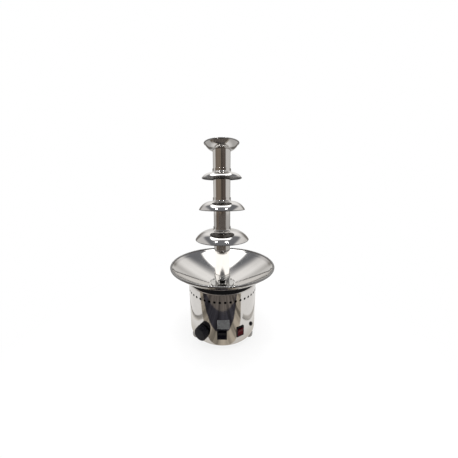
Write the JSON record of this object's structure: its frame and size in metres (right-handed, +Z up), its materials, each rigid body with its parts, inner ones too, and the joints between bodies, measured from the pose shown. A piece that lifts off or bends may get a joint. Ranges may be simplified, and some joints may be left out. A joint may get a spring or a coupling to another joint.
{
  "type": "chocolate fountain",
  "caption": "Free-standing chocolate fountain: heated bowl on a round steel base with controls, and a tube tower with domed tiers, a crown and a turning auger.",
  "frame": {"origin": "on the table, under the tower's axis", "axes": "+Z up along the tower's axis, the controls face -Y, +X to the right as seen from the front"},
  "size_m": [0.332, 0.332, 0.6009],
  "materials": {
    "polished_steel": "mirror polished stainless sheet",
    "satin_steel": "satin stainless",
    "plain_steel": "plain rolled or turned steel",
    "chrome": "bright plated",
    "heater_steel": "heat-darkened",
    "black_rubber": "matt black",
    "black_plastic": "fine grained black",
    "black_rocker": "smooth black",
    "red_rocker": "smooth translucent red",
    "pale_plastic": "moulded",
    "brass": "turned",
    "gearbox_alloy": "die cast",
    "motor_paint": "grey paint",
    "fuse_glass": "clear tube"
  },
  "bodies": {
    "base": {"bowl": "polished_steel", "base_shell": "polished_steel", "locating_pegs": "satin_steel", "shaft_bush": "satin_steel", "bush_nut": "plain_steel", "bowl_studs": "plain_steel", "bowl_nuts": "plain_steel", "motor_plate": "plain_steel", "motor_pillars": "plain_steel", "plate_screws": "plain_steel", "gearbox_screws": "plain_steel", "bottom_cover": "plain_steel", "cover_screws": "plain_steel", "foot_nuts": "plain_steel", "thermostat_nut": "plain_steel", "heater_clamps": "plain_steel", "heating_element": "heater_steel", "insulating_ring": "black_rubber", "shaft_seal": "black_rubber", "motor_switch_frame": "black_plastic", "heat_switch_frame": "black_plastic", "fuse_holder": "black_plastic", "fuse_nut": "black_plastic", "cord_gland": "black_plastic", "gland_nut": "black_plastic", "thermostat_body": "pale_plastic", "terminal_block": "pale_plastic", "thermal_cutout": "pale_plastic", "motor_switch_terminals": "brass", "heat_switch_terminals": "brass", "thermostat_bulb": "brass", "gearbox": "gearbox_alloy", "motor": "motor_paint"},
    "drive": {"drive_shaft": "satin_steel", "drive_pin": "plain_steel"},
    "auger": {"auger_rod": "satin_steel", "auger_flight": "satin_steel"},
    "tower": {"tower_tube": "polished_steel", "tower_ring": "satin_steel"},
    "lower_tier": {"tier_lower": "polished_steel"},
    "middle_tier": {"tier_middle": "polished_steel"},
    "upper_tier": {"tier_upper": "polished_steel"},
    "crown_cup": {"crown": "polished_steel"},
    "heat_knob": {"knob": "black_plastic", "thermostat_shaft": "plain_steel"},
    "motor_rocker": {"motor_switch_rocker": "black_rocker"},
    "heat_rocker": {"heat_switch_rocker": "red_rocker"},
    "fuse_carrier": {"fuse_cap": "black_plastic", "fuse_link": "fuse_glass"},
    "left_foot": {"foot_left": "chrome", "foot_pad_left": "black_rubber"},
    "right_foot": {"foot_right": "chrome", "foot_pad_right": "black_rubber"},
    "rear_foot": {"foot_rear": "chrome", "foot_pad_rear": "black_rubber"}
  },
  "joints": [
    {"name": "drive_spin", "type": "hinge", "parent": "base", "child": "drive", "pos_m": [0, 0, 0.15], "axis": [0, 0, -1], "continuous": true},
    {"name": "auger_lift", "type": "slide", "parent": "drive", "child": "auger", "axis": [0, 0, 1], "range_m": [0, 0.43]},
    {"name": "tower_lift", "type": "slide", "parent": "base", "child": "tower", "axis": [0, 0, 1], "range_m": [0, 0.43]},
    {"name": "lower_tier_lift", "type": "slide", "parent": "tower", "child": "lower_tier", "axis": [0, 0, 1], "range_m": [0, 0.05]},
    {"name": "middle_tier_lift", "type": "slide", "parent": "tower", "child": "middle_tier", "axis": [0, 0, 1], "range_m": [0, 0.05]},
    {"name": "upper_tier_lift", "type": "slide", "parent": "tower", "child": "upper_tier", "axis": [0, 0, 1], "range_m": [0, 0.04]},
    {"name": "crown_lift", "type": "slide", "parent": "tower", "child": "crown_cup", "axis": [0, 0, 1], "range_m": [0, 0.05]},
    {"name": "heat_knob_turn", "type": "hinge", "parent": "base", "child": "heat_knob", "pos_m": [-0.05768, -0.096, 0.06], "axis": [0.515, 0.8572, 0], "range_deg": [0, 270]},
    {"name": "motor_switch_rock", "type": "hinge", "parent": "base", "child": "motor_rocker", "pos_m": [-0.00188, -0.10798, 0.06], "axis": [-0.9998, 0.0175, 0], "range_deg": [0, 20]},
    {"name": "heat_switch_rock", "type": "hinge", "parent": "base", "child": "heat_rocker", "pos_m": [0.0507, -0.09536, 0.06], "axis": [-0.8829, -0.4695, 0], "range_deg": [0, 20]},
    {"name": "fuse_pull", "type": "slide", "parent": "base", "child": "fuse_carrier", "axis": [0.7986, -0.6018, 0], "range_m": [0, 0.03]},
    {"name": "left_foot_screw", "type": "slide", "parent": "base", "child": "left_foot", "axis": [0, 0, 1], "range_m": [-0.006, 0]},
    {"name": "right_foot_screw", "type": "slide", "parent": "base", "child": "right_foot", "axis": [0, 0, 1], "range_m": [-0.006, 0]},
    {"name": "rear_foot_screw", "type": "slide", "parent": "base", "child": "rear_foot", "axis": [0, 0, 1], "range_m": [-0.006, 0]}
  ]
}
